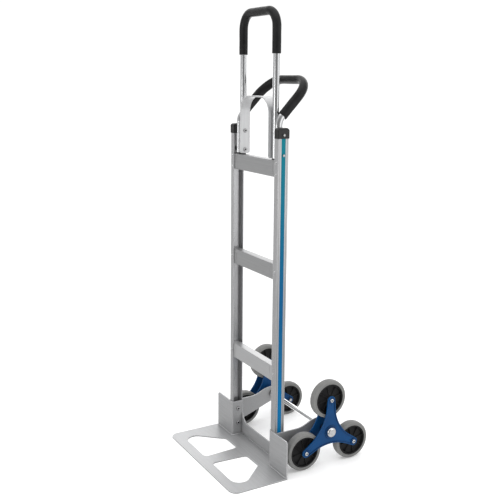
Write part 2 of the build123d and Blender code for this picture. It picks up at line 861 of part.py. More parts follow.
# ---------------------------------------------------------------- star pieces and wheels
for side_name, side in sides.items():
    finish(make_star_plate(side, star_outer - star_plate, star_outer, 1), side_name + "_outer_star")
    finish(make_star_plate(side, star_inner, star_inner + star_plate, -1), side_name + "_inner_star")
    hub_stretch = [(side * hub_sleeve_inner, side * hub_sleeve_outer)]
    hub_sleeve = make_sleeves(hub_stretch, axle_point, hub_sleeve_radius, axle_radius + running_play)
    finish(hub_sleeve, side_name + "_hub_sleeve")
    wheel_stack = [(side * star_outer, side * (star_inner - wheel_nut_height))]
    wheel_bolts = make_bolts(
        wheel_stack,
        wheel_points,
        wheel_bolt_radius,
        wheel_head_radius,
        wheel_head_height,
    )
    finish(wheel_bolts, side_name + "_wheel_bolts")
    wheel_seat = [(side * star_inner, -side)]
    wheel_nuts = make_nuts(wheel_seat, wheel_points, wheel_bolt_radius, wheel_nut_radius, wheel_nut_height)
    finish(wheel_nuts, side_name + "_wheel_nuts")
    sleeve_stretch = [(side * (star_inner + star_plate), side * (star_outer - star_plate))]
    wheel_sleeves = make_sleeves(sleeve_stretch, wheel_points, sleeve_radius, wheel_bolt_radius)
    finish(wheel_sleeves, side_name + "_wheel_sleeves")
    for wheel_name in wheel_angles:
        finish(make_wheel_hub(side, wheel_name), side_name + "_" + wheel_name + "_wheel_hub")
        finish(make_tyre(side, wheel_name), side_name + "_" + wheel_name + "_tyre")
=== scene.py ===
import json
import math

import bmesh
import bpy
from mathutils import Matrix, Vector, noise


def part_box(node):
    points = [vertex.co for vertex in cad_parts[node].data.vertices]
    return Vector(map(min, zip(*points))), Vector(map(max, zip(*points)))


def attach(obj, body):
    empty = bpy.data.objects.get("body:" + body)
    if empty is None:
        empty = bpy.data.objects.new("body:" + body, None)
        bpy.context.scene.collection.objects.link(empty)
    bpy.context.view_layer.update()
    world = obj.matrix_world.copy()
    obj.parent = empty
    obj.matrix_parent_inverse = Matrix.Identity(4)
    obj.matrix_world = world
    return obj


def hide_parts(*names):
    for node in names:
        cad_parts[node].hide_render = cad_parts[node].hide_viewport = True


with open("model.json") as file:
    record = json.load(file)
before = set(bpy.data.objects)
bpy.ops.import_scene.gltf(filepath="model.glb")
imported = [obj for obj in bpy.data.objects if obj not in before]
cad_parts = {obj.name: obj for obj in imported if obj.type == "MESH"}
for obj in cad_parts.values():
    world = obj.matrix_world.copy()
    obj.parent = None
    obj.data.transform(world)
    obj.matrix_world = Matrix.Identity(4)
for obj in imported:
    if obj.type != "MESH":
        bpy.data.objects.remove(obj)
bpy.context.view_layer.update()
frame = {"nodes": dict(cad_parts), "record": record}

# Looks of the stair climbing trolley. Metres, +Z up, -Y to the load side, the ground at z = 0.
SIDES = ("left", "right")
WHEELS = ("top", "front", "rear")
MM = 0.001
TUBE_WALL = 1.6 * MM
TUBE_END_ROUND = 0.3 * MM
FOAM_GAP = 0.05 * MM
FOAM_END_ROUND = 2.2 * MM
PATH_STEP = 3 * MM
LOOP_CORNER = 52 * MM


# ---------------------------------------------------------------- camera, light and floor
def add_camera():
    azimuth = math.radians(60.23)
    elevation = math.radians(11.04)
    roll = math.radians(0.49)
    back = Vector((
        math.sin(azimuth) * math.cos(elevation),
        -math.cos(azimuth) * math.cos(elevation),
        math.sin(elevation),
    ))
    right = Vector((math.cos(azimuth), math.sin(azimuth), 0))
    turned = Matrix.Rotation(roll, 3, back)
    right = turned @ right
    up = back.cross(right)
    data = bpy.data.cameras.new("camera")
    data.lens = 56.85
    data.sensor_width = 36
    data.shift_x = -0.003
    data.shift_y = -0.036
    camera = bpy.data.objects.new("camera", data)
    bpy.context.scene.collection.objects.link(camera)
    rail_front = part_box("left_rail")[0].y
    beside, ahead, above = 2.30326, 1.32198, 1.32240
    place = (beside, rail_front - ahead, above)
    turn = Matrix((right, up, back)).transposed().to_4x4()
    camera.matrix_world = Matrix.Translation(place) @ turn
    bpy.context.scene.camera = camera


def add_softbox(name, place, target, size, radiance):
    """A rectangular area light at place that faces target. The camera doesn't see it."""
    data = bpy.data.lights.new(name, "AREA")
    data.shape = "RECTANGLE"
    data.size, data.size_y = size
    data.energy = radiance * math.pi * size[0] * size[1]
    light = bpy.data.objects.new(name, data)
    bpy.context.scene.collection.objects.link(light)
    light.location = place
    light.rotation_euler = (Vector(target) - Vector(place)).to_track_quat("-Z", "Y").to_euler()
    light.visible_camera = False


def place_around(azimuth, distance, height):
    """A point around the object; azimuth 0 is +X and 90 is +Y."""
    angle = math.radians(azimuth)
    return (distance * math.cos(angle), distance * math.sin(angle), height)


def add_studio():
    """White surroundings. Gloss sees them dimmer at -30 and 215 degrees and brighter at 150."""
    middle, foot = (0, 0, 0.8), (0, 0, 0.4)
    add_softbox("side_box", place_around(32, 2.9, 1.3), middle, (1.5, 2.6), 0.8)
    add_softbox("front_box", place_around(-78, 2.6, 0.6), foot, (0.9, 1.4), 2.6)
    add_softbox("top_box", (0, 0, 4), middle, (4, 4), 0.8)
    world = bpy.data.worlds.new("studio")
    bpy.context.scene.world = world
    world.use_nodes = True
    nodes, links = world.node_tree.nodes, world.node_tree.links
    shade = nodes["Background"]
    plain_white = 1.05
    shade.inputs["Color"].default_value = (1, 1, 1, 1)
    direction = nodes.new("ShaderNodeTexCoord")

    def patch(azimuth, start, full, low, high):
        """A strength that goes from low to high where the cosine to azimuth goes start to full."""
        towards = nodes.new("ShaderNodeVectorMath")
        towards.operation = "DOT_PRODUCT"
        towards.inputs[1].default_value = Vector(place_around(azimuth, 1, 0))
        links.new(direction.outputs["Generated"], towards.inputs[0])
        fade = nodes.new("ShaderNodeMapRange")
        fade.interpolation_type = "SMOOTHSTEP"
        fade.inputs["From Min"].default_value = start
        fade.inputs["From Max"].default_value = full
        fade.inputs["To Min"].default_value = low
        fade.inputs["To Max"].default_value = high
        links.new(towards.outputs["Value"], fade.inputs["Value"])
        return fade.outputs["Result"]

    dim = nodes.new("ShaderNodeMath")
    links.new(patch(-30, start=0.55, full=0.98, low=0.62, high=0.24), dim.inputs[0])
    links.new(patch(215, start=0.7, full=0.93, low=0, high=-0.2), dim.inputs[1])
    pattern = nodes.new("ShaderNodeMath")
    links.new(dim.outputs["Value"], pattern.inputs[0])
    links.new(patch(150, start=0.5, full=0.9, low=0, high=1.35), pattern.inputs[1])
    path = nodes.new("ShaderNodeLightPath")
    seen = nodes.new("ShaderNodeMix")
    links.new(path.outputs["Is Glossy Ray"], seen.inputs["Factor"])
    seen.inputs["A"].default_value = plain_white
    links.new(pattern.outputs["Value"], seen.inputs["B"])
    links.new(seen.outputs["Result"], shade.inputs["Strength"])
    bpy.context.scene.view_settings.view_transform = "Standard"


def add_floor():
    """A wide white floor that glows a little, so that the shadows stay faint."""
    floor_radius, glow = 40, 0.12
    made = bmesh.new()
    bmesh.ops.create_circle(made, cap_ends=True, segments=96, radius=floor_radius)
    data = bpy.data.meshes.new("floor")
    made.to_mesh(data)
    made.free()
    floor = bpy.data.objects.new("floor", data)
    bpy.context.scene.collection.objects.link(floor)
    floor.visible_glossy = False
    paint = Finish("studio_floor", (0.98, 0.98, 0.98), metallic=0, roughness=1, specular=0)
    paint.shader.inputs["Emission Color"].default_value = (1, 1, 1, 1)
    paint.shader.inputs["Emission Strength"].default_value = glow
    data.materials.append(paint.material)


# ---------------------------------------------------------------- materials
# A mix node has a set of sockets for each type of data. These are the colour ones.
MIX_FIRST, MIX_SECOND, MIX_RESULT = 6, 7, 2


class Finish:
    """One procedural material on a principled shader."""

    def __init__(self, name, colour, metallic, roughness, specular=0.5):
        self.slot = name
        self.material = bpy.data.materials.new(name + "_finish")
        self.material.use_nodes = True
        self.nodes = self.material.node_tree.nodes
        self.links = self.material.node_tree.links
        self.shader = self.nodes["Principled BSDF"]
        self.shader.inputs["Base Color"].default_value = (*colour, 1)
        self.shader.inputs["Metallic"].default_value = metallic
        self.shader.inputs["Roughness"].default_value = roughness
        self.shader.inputs["Specular IOR Level"].default_value = specular
        self.colour = None
        self.base = (*colour, 1)
        self.place = self.nodes.new("ShaderNodeTexCoord").outputs["Object"]

    def join(self, source, node, socket):
        """Feed a socket from a number, a colour or another node."""
        if isinstance(source, (int, float, tuple)):
            node.inputs[socket].default_value = source
        else:
            self.links.new(source, node.inputs[socket])

    def noise(self, scale, stretch=(1, 1, 1), detail=4, rough=0.55):
        """Noise whose grains are 1 / scale metres, drawn out where stretch is under 1."""
        mapping = self.nodes.new("ShaderNodeMapping")
        mapping.inputs["Scale"].default_value = stretch
        self.links.new(self.place, mapping.inputs["Vector"])
        grain = self.nodes.new("ShaderNodeTexNoise")
        grain.inputs["Scale"].default_value = scale
        grain.inputs["Detail"].default_value = detail
        grain.inputs["Roughness"].default_value = rough
        self.links.new(mapping.outputs["Vector"], grain.inputs["Vector"])
        return grain.outputs["Fac"]

    def cells(self, scale):
        """Rounded cells, 1 / scale metres apart: 0 at their middles."""
        cells = self.nodes.new("ShaderNodeTexVoronoi")
        cells.feature = "SMOOTH_F1"
        cells.inputs["Scale"].default_value = scale
        cells.inputs["Smoothness"].default_value = 0.6
        self.links.new(self.place, cells.inputs["Vector"])
        return cells.outputs["Distance"]

    def fit(self, value, low, high, new_low=0.0, new_high=1.0):
        """value from low..high carried to new_low..new_high, and no further."""
        fitted = self.nodes.new("ShaderNodeMapRange")
        fitted.inputs["From Min"].default_value = low
        fitted.inputs["From Max"].default_value = high
        fitted.inputs["To Min"].default_value = new_low
        fitted.inputs["To Max"].default_value = new_high
        self.links.new(value, fitted.inputs["Value"])
        return fitted.outputs["Result"]

    def math(self, kind, first, second):
        node = self.nodes.new("ShaderNodeMath")
        node.operation = kind
        self.join(first, node, 0)
        self.join(second, node, 1)
        return node.outputs["Value"]

    def axis(self, name):
        split = self.nodes.new("ShaderNodeSeparateXYZ")
        self.links.new(self.place, split.inputs["Vector"])
        return split.outputs[name]

    def edges(self, radius):
        """1 on the object's edges, 0 on its faces, and the normal rounded over them."""
        rounded = self.nodes.new("ShaderNodeBevel")
        rounded.samples = 6
        rounded.inputs["Radius"].default_value = radius
        flat = self.nodes.new("ShaderNodeNewGeometry")
        product = self.nodes.new("ShaderNodeVectorMath")
        product.operation = "DOT_PRODUCT"
        self.links.new(rounded.outputs["Normal"], product.inputs[0])
        self.links.new(flat.outputs["Normal"], product.inputs[1])
        return self.fit(product.outputs["Value"], 0.99, 0.8), rounded.outputs["Normal"]

    def shade_in_crevices(self, reach):
        """1 deep in corners and recesses, 0 on open faces: the mask where shade is painted."""
        shelter = self.nodes.new("ShaderNodeAmbientOcclusion")
        shelter.samples = 8
        shelter.inputs["Distance"].default_value = reach
        return self.fit(shelter.outputs["AO"], 0.95, 0.45)

    def mix(self, mask, colour):
        """Blend the base colour towards colour where mask is 1."""
        blend = self.nodes.new("ShaderNodeMix")
        blend.data_type = "RGBA"
        self.join(mask, blend, "Factor")
        self.join(self.colour or self.base, blend, MIX_FIRST)
        self.join((*colour, 1), blend, MIX_SECOND)
        self.colour = blend.outputs[MIX_RESULT]
        self.links.new(self.colour, self.shader.inputs["Base Color"])

    def rough(self, value):
        self.links.new(value, self.shader.inputs["Roughness"])

    def bump(self, height, depth, normal=None):
        """Raise the surface by up to depth metres, on top of a rounded normal."""
        bump = self.nodes.new("ShaderNodeBump")
        bump.inputs["Strength"].default_value = 1
        bump.inputs["Distance"].default_value = depth
        self.links.new(height, bump.inputs["Height"])
        if normal:
            self.links.new(normal, bump.inputs["Normal"])
        self.links.new(bump.outputs["Normal"], self.shader.inputs["Normal"])


def scaled(colour, factor):
    """A lighter or darker colour."""
    return tuple(min(1, c * factor) for c in colour)


# How far draw lines are stretched along each axis: along Z on rails and strap, along X on bars
UPRIGHT = (1, 1, 0.012)
STRAP_LINES = (1, 1, 0.02)
SIDEWAYS = (0.012, 1, 1)


def drawn_metal(name, colour, metallic, roughness, stretch, edge, edge_wear_and_highlight=0.8):
    """Aluminium with fine draw lines, soft patches, a few scuffs, painted shade in corners and
    recesses, and edges lightened partly as wear and partly as a painted highlight.
    """
    metal = Finish(name, colour, metallic, roughness)
    streak = 0.10
    lines = metal.noise(900, stretch, detail=3)
    bands = metal.noise(160, stretch, detail=2)
    patches = metal.noise(9, detail=3)
    scuffs = metal.fit(metal.noise(60, (1, 1, 0.35), detail=8, rough=0.75), 0.62, 0.72)
    rim, normal = metal.edges(edge)
    metal.mix(metal.fit(lines, 0.35, 0.65), scaled(colour, 1 - streak))
    metal.mix(metal.fit(bands, 0.4, 0.7, 0, 0.5), scaled(colour, 1 + streak))
    metal.mix(metal.fit(patches, 0.4, 0.75, 0, 0.5), scaled(colour, 0.93))
    # Painted shade: darker in corners and recesses.
    metal.mix(metal.math("MULTIPLY", metal.shade_in_crevices(5 * MM), 0.5), scaled(colour, 0.35))
    # Edges lighter: partly wear, partly a painted highlight.
    metal.mix(metal.math("MULTIPLY", rim, edge_wear_and_highlight), scaled(colour, 1.6))
    metal.mix(metal.math("MULTIPLY", scuffs, 0.22), scaled(colour, 0.88))
    sheen = metal.math("ADD", metal.fit(lines, 0.3, 0.7, roughness - 0.05, roughness + 0.05),
                       metal.math("MULTIPLY", scuffs, 0.1))
    metal.rough(sheen)
    metal.bump(lines, 0.006 * MM, normal)
    return metal


def rail_metal():
    """Drawn aluminium with a thin line of painted shade on each side of the web's groove, standing in
    for a shallow groove that the shape lacks.
    """
    colour = (0.50, 0.502, 0.51)
    metal = drawn_metal("rail_aluminium", colour, 0.74, 0.3, UPRIGHT, 1.2 * MM, edge_wear_and_highlight=0.6)
    line_place = 13.5 * MM
    low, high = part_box("left_rail")
    from_middle = metal.math("SUBTRACT", metal.axis("Y"), (low.y + high.y) / 2)
    from_line = metal.math("SUBTRACT", metal.math("ABSOLUTE", from_middle, 0), line_place)
    # Painted shade: a thin dark line in place of a shallow groove.
    line = metal.fit(metal.math("ABSOLUTE", from_line, 0), 1.3 * MM, 0.7 * MM)
    metal.mix(metal.math("MULTIPLY", line, 0.75), scaled(colour, 0.3))
    return metal


def tube_metal():
    """Bright drawn tube: almost smooth, with faint rings of handling wear."""
    colour = (0.70, 0.705, 0.715)
    tube = Finish("tube_aluminium", colour, 1, 0.22)
    rings = tube.noise(40, (0.3, 0.3, 1), detail=4)
    patches = tube.noise(14, detail=3)
    tube.mix(tube.fit(rings, 0.4, 0.7, 0, 0.5), scaled(colour, 0.95))
    tube.mix(tube.fit(patches, 0.4, 0.75, 0, 0.4), scaled(colour, 0.92))
    return tube


def sheet_metal():
    """Brushed sheet: strokes along X, painted shade that darkens it towards the welded folds and in
    its corners, and edges lightened partly as wear and partly as a painted highlight.
    """
    colour = (0.455, 0.458, 0.465)
    metal = Finish("plate_metal", colour, 0.45, 0.42)
    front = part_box("nose_plate")[0].y
    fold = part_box("left_rail")[0].y
    shade_start, shade_end = front + 50 * MM, fold - 15 * MM
    depth = metal.axis("Y")
    strokes = metal.noise(420, (0.03, 1, 1), detail=4)
    wide = metal.noise(70, (0.06, 1, 1), detail=3)
    grain = metal.noise(1400, detail=2)
    patches = metal.noise(9, detail=5)
    scratches = metal.fit(metal.noise(45, (0.15, 1, 1), detail=9, rough=0.8), 0.63, 0.7)
    rim, normal = metal.edges(2.0 * MM)
    # Painted shade: darker from near the front edge back towards the folds.
    metal.mix(metal.fit(depth, shade_start, shade_end, 0, 0.8), scaled(colour, 0.66))
    metal.mix(metal.fit(patches, 0.35, 0.75, 0, 0.5), scaled(colour, 0.84))
    metal.mix(metal.fit(strokes, 0.4, 0.65, 0, 0.45), scaled(colour, 1.15))
    metal.mix(metal.fit(wide, 0.45, 0.7, 0, 0.4), scaled(colour, 0.85))
    metal.mix(metal.fit(grain, 0.4, 0.7, 0, 0.2), scaled(colour, 1.12))
    metal.mix(metal.math("MULTIPLY", scratches, 0.3), scaled(colour, 0.72))
    # Painted shade: darker in corners and recesses.
    metal.mix(metal.math("MULTIPLY", metal.shade_in_crevices(14 * MM), 0.6), scaled(colour, 0.4))
    # Edges lighter: partly wear, partly a painted highlight.
    metal.mix(metal.math("MULTIPLY", rim, 0.9), scaled(colour, 1.9))
    metal.rough(metal.math("ADD", metal.fit(strokes, 0.3, 0.7, 0.36, 0.48),
                           metal.math("MULTIPLY", scratches, -0.08)))
    metal.bump(metal.math("ADD", strokes, metal.math("MULTIPLY", grain, 0.5)), 0.03 * MM, normal)
    return metal


def plated_steel(name, colour, roughness, reach, shade):
    """Plated steel with faint blotches, edges lightened partly as wear and partly as a painted
    highlight, and painted shade in recesses, which are darkened to shade times the colour.
    """
    metal = Finish(name, colour, 1, roughness)
    blotches = metal.noise(120, detail=5)
    rim, normal = metal.edges(0.4 * MM)
    stained = tuple(c * w for c, w in zip(colour, (0.86, 0.86, 0.84)))
    metal.mix(metal.fit(blotches, 0.4, 0.7, 0, 0.6), stained)
    # Painted shade: recesses darkened towards shade times the colour.
    metal.mix(metal.shade_in_crevices(reach), scaled(colour, shade))
    # Edges lighter: partly wear, partly a painted highlight.
    metal.mix(metal.math("MULTIPLY", rim, 0.5), (0.95, 0.95, 0.95))
    metal.rough(metal.fit(blotches, 0.3, 0.7, roughness - 0.05, roughness + 0.08))
    metal.bump(blotches, 0.01 * MM, normal)
    return metal


def moulded(name, colour, roughness, wear_and_highlight_colour, specular):
    """Moulded plastic: fine texture, faint flow marks, and edges lightened towards the given lighter
    colour, partly as wear and partly as a painted highlight.
    """
    plastic = Finish(name, colour, 0, roughness, specular)
    grain_size = 0.8 * MM
    grain = plastic.noise(1 / grain_size, detail=3)
    flow = plastic.noise(14, (1, 1, 0.4), detail=3)
    rim, normal = plastic.edges(0.6 * MM)
    plastic.mix(plastic.fit(flow, 0.35, 0.75, 0, 0.6), scaled(colour, 0.8))
    plastic.mix(plastic.fit(grain, 0.5, 0.8, 0, 0.25), wear_and_highlight_colour)
    # Edges lighter: partly wear, partly a painted highlight.
    plastic.mix(plastic.math("MULTIPLY", rim, 0.45), wear_and_highlight_colour)
    plastic.rough(plastic.fit(flow, 0.3, 0.7, roughness - 0.05, roughness + 0.07))
    plastic.bump(grain, 0.03 * MM, normal)
    return plastic


def strip_plastic():
    """Blue extruded strip, greener towards its upper end and lighter at its foot."""
    foot, lower, upper = (0.0005, 0.135, 0.320), (0.0005, 0.088, 0.220), (0.002, 0.165, 0.210)
    strip = Finish("blue_strip", lower, 0, 0.34, specular=0.12)
    height = strip.axis("Z")
    lines = strip.noise(700, (1, 1, 0.02), detail=3)
    strip.mix(strip.fit(height, 0.62, 1.12), upper)
    strip.mix(strip.fit(height, 0.5, 0.2), foot)
    strip.mix(strip.fit(lines, 0.45, 0.75, 0, 0.3), (0.001, 0.07, 0.16))
    scuffs = strip.fit(strip.noise(80, (1, 1, 0.3), detail=8, rough=0.75), 0.64, 0.72)
    strip.mix(strip.math("MULTIPLY", scuffs, 0.25), (0.10, 0.30, 0.42))
    strip.rough(strip.fit(lines, 0.3, 0.7, 0.28, 0.42))
    strip.bump(lines, 0.02 * MM)
    return strip


def foam():
    """Closed-cell foam rubber: tiny cells, a dull skin and lighter rubbed patches."""
    skin = Finish("black_foam", (0.006, 0.006, 0.0065), 0, 0.45, specular=0.28)
    cell_size = 1.1 * MM
    cells = skin.cells(1 / cell_size)
    patches = skin.noise(28, detail=5)
    fine = skin.noise(1600, detail=2)
    skin.mix(skin.fit(patches, 0.42, 0.72, 0, 0.6), (0.018, 0.018, 0.019))
    skin.mix(skin.fit(cells, 0.35, 0.75, 0, 0.45), (0.002, 0.002, 0.002))
    skin.rough(skin.fit(fine, 0.3, 0.7, 0.38, 0.52))
    relief = skin.math("ADD", skin.math("MULTIPLY", cells, -1.0), skin.math("MULTIPLY", fine, 0.4))
    skin.bump(relief, 0.05 * MM)
    return skin


def tyre_rubber():
    """Grey solid rubber, darker where the tread has picked up dirt."""
    grey = (0.175, 0.175, 0.171)
    rubber = Finish("grey_tyre", grey, 0, 0.5, specular=0.35)
    grain = rubber.noise(900, detail=3)
    dirt = rubber.noise(90, detail=7, rough=0.7)
    patches = rubber.noise(22, detail=3)
    rubber.mix(rubber.fit(patches, 0.35, 0.7, 0, 0.5), (0.215, 0.215, 0.207))
    rubber.mix(rubber.fit(dirt, 0.55, 0.75, 0, 0.35), (0.11, 0.108, 0.10))
    rubber.mix(rubber.fit(grain, 0.5, 0.75, 0, 0.2), (0.26, 0.26, 0.25))
    rubber.rough(rubber.fit(dirt, 0.3, 0.7, 0.45, 0.65))
    rubber.bump(grain, 0.05 * MM)
    return rubber


def painted_blue():
    """Smooth deep blue, a little lighter on the rims, partly as wear and partly as a painted
    highlight, with painted shade in corners and recesses.
    """
    blue = (0.003, 0.053, 0.168)
    paint = Finish("blue_star", blue, 0, 0.34, specular=0.18)
    peel = paint.noise(420, detail=2)
    flow = paint.noise(24, detail=4)
    scuffs = paint.fit(paint.noise(70, detail=9, rough=0.78), 0.64, 0.71)
    rim, normal = paint.edges(0.9 * MM)
    paint.mix(paint.fit(flow, 0.35, 0.7, 0, 0.6), (0.002, 0.039, 0.132))
    # Rims lighter: partly wear, partly a painted highlight.
    paint.mix(paint.math("MULTIPLY", rim, 0.75), (0.04, 0.15, 0.36))
    # Painted shade: darker blue in corners and recesses.
    paint.mix(paint.shade_in_crevices(8 * MM), (0.001, 0.010, 0.045))
    paint.mix(paint.math("MULTIPLY", scuffs, 0.2), (0.06, 0.15, 0.32))
    paint.rough(paint.fit(flow, 0.3, 0.7, 0.3, 0.42))
    paint.bump(peel, 0.03 * MM, normal)
    return paint


def bar_metal():
    """Drawn aluminium that is lighter on the lowest crossbar."""
    metal = drawn_metal("bar_aluminium", (0.37, 0.372, 0.376), 0.7, 0.42, SIDEWAYS, 1.2 * MM)
    metal.mix(metal.fit(metal.axis("Z"), 0.6, 0.4, 0, 0.6), (0.6, 0.603, 0.61))
    return metal


def make_finishes():
    """The material of each of the record's slots."""
    made = [
        bar_metal(),
        rail_metal(),
        drawn_metal("strap_aluminium", (0.60, 0.603, 0.61), 0.7, 0.4, STRAP_LINES, 1.2 * MM),
        tube_metal(),
        sheet_metal(),
        strip_plastic(),
        moulded("black_plastic", (0.007, 0.007, 0.0075), 0.27, (0.04, 0.04, 0.042), 0.4),
        foam(),
        plated_steel("bright_steel", (0.90, 0.91, 0.92), 0.12, 2.5 * MM, 0.35),
        plated_steel("zinc_steel", (0.60, 0.60, 0.61), 0.2, 6 * MM, 0.04),
        painted_blue(),
        moulded("wheel_hub", (0.006, 0.006, 0.0065), 0.4, (0.032, 0.031, 0.029), 0.25),
        tyre_rubber(),
    ]
    return {finish.slot: finish.material for finish in made}


def dress_frame(finishes):
    """Give each CAD node the finish of its own material slot."""
    for part in frame["record"]["subparts"]:
        node = frame["nodes"][part["node"]]
        node.data.materials.clear()
        node.data.materials.append(finishes[part["material_slot"]])


# ---------------------------------------------------------------- mesh helpers
def make_piece(name, body, finish, replaced, mesh_maker, sharp=35):
    """Build a mesh piece with mesh_maker(bmesh) that rides on body and stands for CAD nodes."""
    made = bmesh.new()
    mesh_maker(made)
    bmesh.ops.recalc_face_normals(made, faces=made.faces)
    data = bpy.data.meshes.new(name)
    made.to_mesh(data)
    made.free()
    data.shade_smooth()
    data.set_sharp_from_angle(angle=math.radians(sharp))
    data.materials.append(finish)
    piece = bpy.data.objects.new(name, data)
    bpy.context.scene.collection.objects.link(piece)
    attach(piece, body)
    if replaced:
        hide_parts(replaced)
    return piece


def bridge(made, first, second):
    """Quads between two equally long closed rows of vertices."""
    count = len(first)
    for i in range(count):
        j = (i + 1) % count
        made.faces.new((first[i], first[j], second[j], second[i]))


def bent_path(corners, radii, step):
    """Points and directions along a polyline whose inner corners are rounded with radii."""
    points = []
    corners = [Vector(c) for c in corners]
    here = corners[0]
    for before, corner, after, radius in zip(corners, corners[1:], corners[2:], radii):
        arrive = (corner - before).normalized()
        leave = (after - corner).normalized()
        turn = arrive.angle(leave)
        setback = radius * math.tan(turn / 2)
        start = corner - arrive * setback
        straight_run(points, here, start, step)
        normal = arrive.cross(leave).normalized()
        centre = start + normal.cross(arrive) * radius
        steps = max(4, round(radius * turn / step))
        for i in range(1, steps + 1):
            spin = Matrix.Rotation(turn * i / steps, 3, normal)
            points.append((centre + spin @ (start - centre), spin @ arrive))
        here = points[-1][0]
    straight_run(points, here, corners[-1], step)
    return points


def straight_run(points, start, end, step):
    """Add the points of a straight run, without repeating its first one."""
    way = end - start
    steps = max(1, round(way.length / step))
    first = 1 if points else 0
    for i in range(first, steps + 1):
        points.append((start + way * i / steps, way.normalized()))


# ---------------------------------------------------------------- handle tubes and foam grips
def fixed_across(direction):
    """The section's first direction where a whole path lies in the plane square to it."""
    across = Vector(direction)
    return lambda along: across


def sleeve(path, across_at, halves, bore, end_round, soft):
    """Mesh maker for an oval sleeve along path; halves and bore go across and square to it."""
    around = 48
    wave_scale, wave_height = 38, 0.30 * MM
    dent_scale, dent_height = 150, 0.10 * MM
    skin_sink = 0.25 * MM
    end_clear = 1.6 * end_round
    half_side, half_up = halves
    bore_side, bore_up = bore

    def ring(made, place, along, a, b, swell):
        across = across_at(along)
        other = along.cross(across).normalized()
        row = []
        for i in range(around):
            angle = 2 * math.pi * i / around
            spot = place + across * (a * math.cos(angle)) + other * (b * math.sin(angle))
            if swell:
                waves = noise.noise(spot * wave_scale) * wave_height
                dents = noise.noise(spot * dent_scale) * dent_height
                spot += (spot - place).normalized() * (waves + dents - skin_sink)
            row.append(made.verts.new(spot))
        return row

    def end_rows(made, place, along, way):
        """A rounded end, from the bore outwards."""
        rows = []
        steps = 4
        for i in range(steps + 1):
            turn = math.pi / 2 * i / steps
            inset = end_round * (1 - math.sin(turn))
            spot = place + along * (end_round * (1 - math.cos(turn)) * way)
            swell = soft and i > 2
            rows.append(ring(made, spot, along, half_side - inset, half_up - inset, swell))
        return rows

    def maker(made):
        run = 0.0
        runs = [run]
        for (here, _), (there, _) in zip(path, path[1:]):
            run += (there - here).length
            runs.append(run)
        first = end_rows(made, *path[0], 1)
        last = end_rows(made, *path[-1], -1)
        skin = [
            ring(made, place, along, half_side, half_up, soft)
            for (place, along), so_far in zip(path, runs)
            if end_clear < so_far < run - end_clear
        ]
        inside = [
            ring(made, place, along, bore_side, bore_up, False)
            for place, along in reversed(path)
        ]
        rows = first + skin + last[::-1] + inside
        for row, following in zip(rows, rows[1:] + rows[:1]):
            bridge(made, row, following)

    return maker


def loop_path(node):
    """The loop handle's centreline down to the foot of one of its nodes, and the node's radius."""
    low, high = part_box(node)
    half = (high.y - low.y) / 2
    x, y, z = high.x - half, (low.y + high.y) / 2, high.z - half
    corners = [(-x, y, low.z), (-x, y, z), (x, y, z), (x, y, low.z)]
    return bent_path(corners, [LOOP_CORNER] * 2, PATH_STEP), half


def add_loop_handle(finishes):
    """Round tube bent to a tall U, and the foam sleeve over its upper part."""
    ahead = fixed_across((0, 1, 0))
    path, half = loop_path("loop_handle_tube")
    bore = half - TUBE_WALL
    maker = sleeve(path, ahead, (half, half), (bore, bore), TUBE_END_ROUND, soft=False)
    metal = finishes["tube_aluminium"]
    make_piece("loop_drawn_tube", "frame", metal, "loop_handle_tube", maker)
    bore = half + FOAM_GAP
    path, half = loop_path("loop_handle_grip")
    maker = sleeve(path, ahead, (half, half), (bore, bore), FOAM_END_ROUND, soft=True)
    skin = finishes["black_foam"]
    grip = make_piece("loop_foam_grip", "frame", skin, "loop_handle_grip", maker)


# The rear handle leans back from its knees. Its section is oval.
LEAN = math.radians(43.6)
AIM = Vector((0, math.sin(LEAN), math.cos(LEAN)))
THROUGH = Vector((0, math.cos(LEAN), -math.sin(LEAN)))
REAR_CORNER = 76 * MM
REAR_KNEE = 45 * MM


def oval_across(along):
    """The oval's long direction: square to the leg in its upright plane, fixed across the top."""
    if abs(along.x) > 1e-6:
        return THROUGH
    turned = along.cross(Vector((1, 0, 0))).normalized()
    return turned if along.z > 0 else -turned


def add_rear_handle(finishes):
    """Oval tube with two knees and two corners, and the foam sleeve over its leaning part."""
    low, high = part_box("rear_handle_tube")
    half_in, half_through = 9.5 * MM, 12.8 * MM
    side = Vector((high.x - half_in, 0, 0))
    foot = Vector((0, low.y + half_through, low.z))
    top_z = high.z - math.hypot(half_through * THROUGH.z, half_in * AIM.z)
    top_y = high.y - math.hypot(half_through * THROUGH.y, half_in * AIM.y)
    top = Vector((0, top_y, top_z))
    knee = Vector((0, foot.y, top_z - (top_y - foot.y) / math.tan(LEAN)))
    corners = [foot - side, knee - side, top - side, top + side, knee + side, foot + side]
    path = bent_path(corners, [REAR_KNEE, REAR_CORNER, REAR_CORNER, REAR_KNEE], PATH_STEP)
    bore = (half_through - TUBE_WALL, half_in - TUBE_WALL)
    maker = sleeve(path, oval_across, (half_through, half_in), bore, TUBE_END_ROUND, soft=False)
    metal = finishes["tube_aluminium"]
    make_piece("rear_drawn_tube", "frame", metal, "rear_handle_tube", maker)

    bore = (half_through + FOAM_GAP, half_in + FOAM_GAP)
    low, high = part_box("rear_handle_grip")
    half_in, half_through = 13 * MM, 17 * MM
    start = Vector((0, low.y + half_through * THROUGH.y, low.z - half_through * THROUGH.z))
    top_half = math.hypot(half_through * THROUGH.z, half_in * AIM.z)
    end = start + AIM * ((high.z - top_half - start.z) / AIM.z)
    side = Vector((high.x - half_in, 0, 0))
    corners = [start - side, end - side, end + side, start + side]
    path = bent_path(corners, [REAR_CORNER] * 2, PATH_STEP)
    halves = (half_through, half_in)
    maker = sleeve(path, fixed_across(THROUGH), halves, bore, FOAM_END_ROUND, soft=True)
    skin = finishes["black_foam"]
    grip = make_piece("rear_foam_grip", "frame", skin, "rear_handle_grip", maker)


